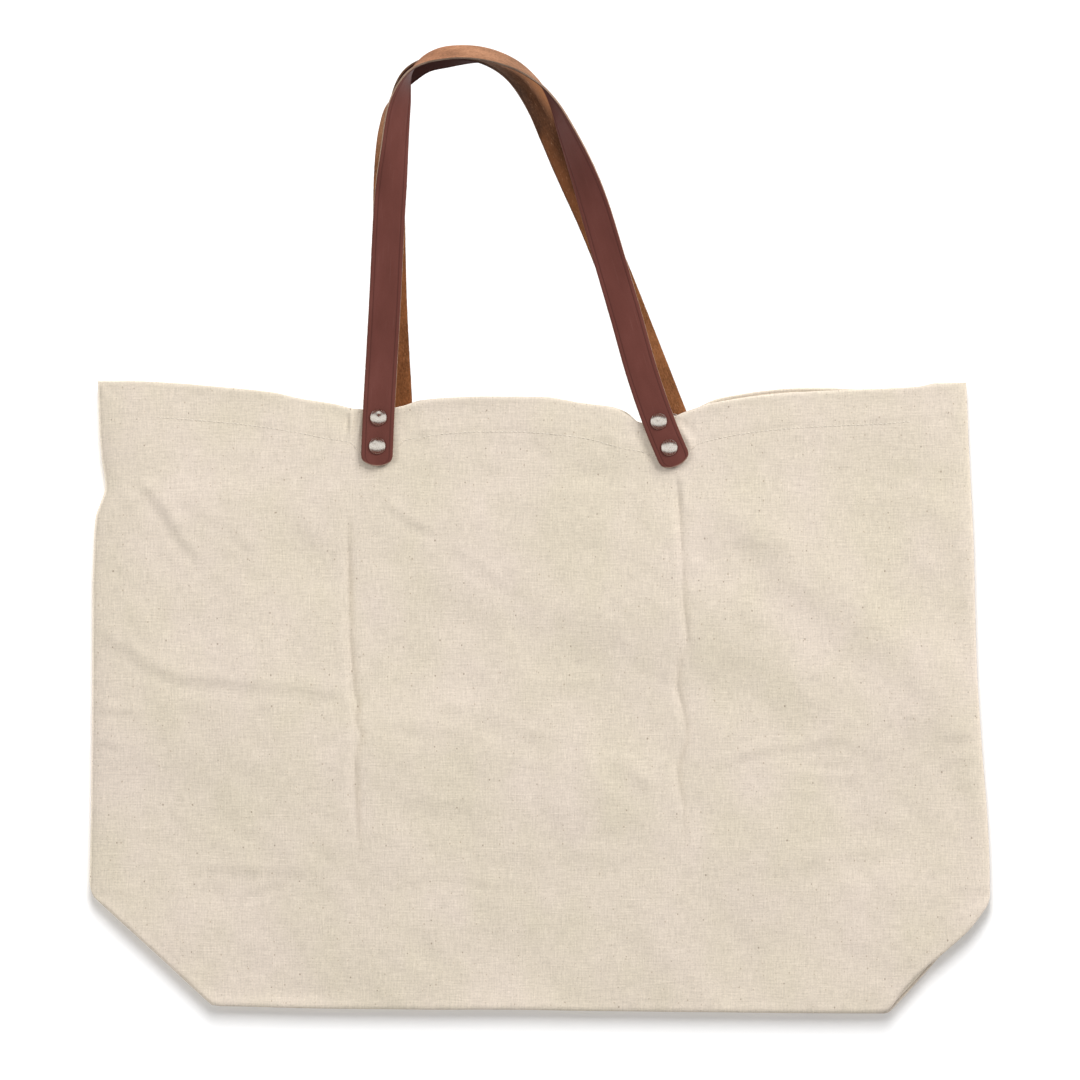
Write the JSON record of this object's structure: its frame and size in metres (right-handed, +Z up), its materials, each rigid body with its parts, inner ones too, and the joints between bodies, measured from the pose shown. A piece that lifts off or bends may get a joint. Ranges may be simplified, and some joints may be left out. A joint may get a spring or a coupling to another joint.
{
  "type": "tote bag",
  "caption": "Natural canvas tote bag folded flat, with a boxed bottom tucked inside, a sewn hem and riveted leather strap handles that bend down over the front and the back.",
  "frame": {"origin": "under the middle of the whole object's box, handles included, at the level of the bag's lowest corner; the bag's own mid plane is the plane Y = 0.01004", "axes": "+Z up from the bottom edge to the mouth and handles, -Y out of the front panel, +X to the right of someone who faces the front"},
  "size_m": [0.572, 0.044, 0.6167],
  "materials": {
    "canvas": "natural unbleached plain-weave cotton canvas with seed flecks",
    "thread": "natural cotton sewing thread",
    "leather": "smooth reddish-brown face, bare tan suede back, cut raw edges",
    "nickel": "bright nickel-plated steel, slightly scuffed"
  },
  "bodies": {
    "bag": {"front_panel": "canvas", "back_panel": "canvas", "bottom_gusset": "canvas", "left_corner_tuck": "canvas", "right_corner_tuck": "canvas", "front_hem_band": "canvas", "back_hem_band": "canvas", "left_side_seam": "canvas", "right_side_seam": "canvas", "front_hem_thread": "thread", "back_hem_thread": "thread", "front_strap_left_end": "leather", "front_strap_right_end": "leather", "back_strap_left_end": "leather", "back_strap_right_end": "leather", "front_left_upper_rivet_cap": "nickel", "front_left_lower_rivet_cap": "nickel", "front_right_upper_rivet_cap": "nickel", "front_right_lower_rivet_cap": "nickel", "back_left_upper_rivet_cap": "nickel", "back_left_lower_rivet_cap": "nickel", "back_right_upper_rivet_cap": "nickel", "back_right_lower_rivet_cap": "nickel", "front_left_upper_rivet_post": "nickel", "front_left_lower_rivet_post": "nickel", "front_right_upper_rivet_post": "nickel", "front_right_lower_rivet_post": "nickel", "back_left_upper_rivet_post": "nickel", "back_left_lower_rivet_post": "nickel", "back_right_upper_rivet_post": "nickel", "back_right_lower_rivet_post": "nickel"},
    "front_handle": {"front_strap_loop": "leather"},
    "back_handle": {"back_strap_loop": "leather"}
  },
  "joints": [
    {"name": "front_handle_fold", "type": "hinge", "parent": "bag", "child": "front_handle", "pos_m": [0, -0.00256, 0.398], "axis": [1, 0, 0], "range_deg": [0, 170]},
    {"name": "back_handle_fold", "type": "hinge", "parent": "bag", "child": "back_handle", "pos_m": [0, 0.02264, 0.398], "axis": [-1, 0, 0], "range_deg": [0, 170]}
  ]
}
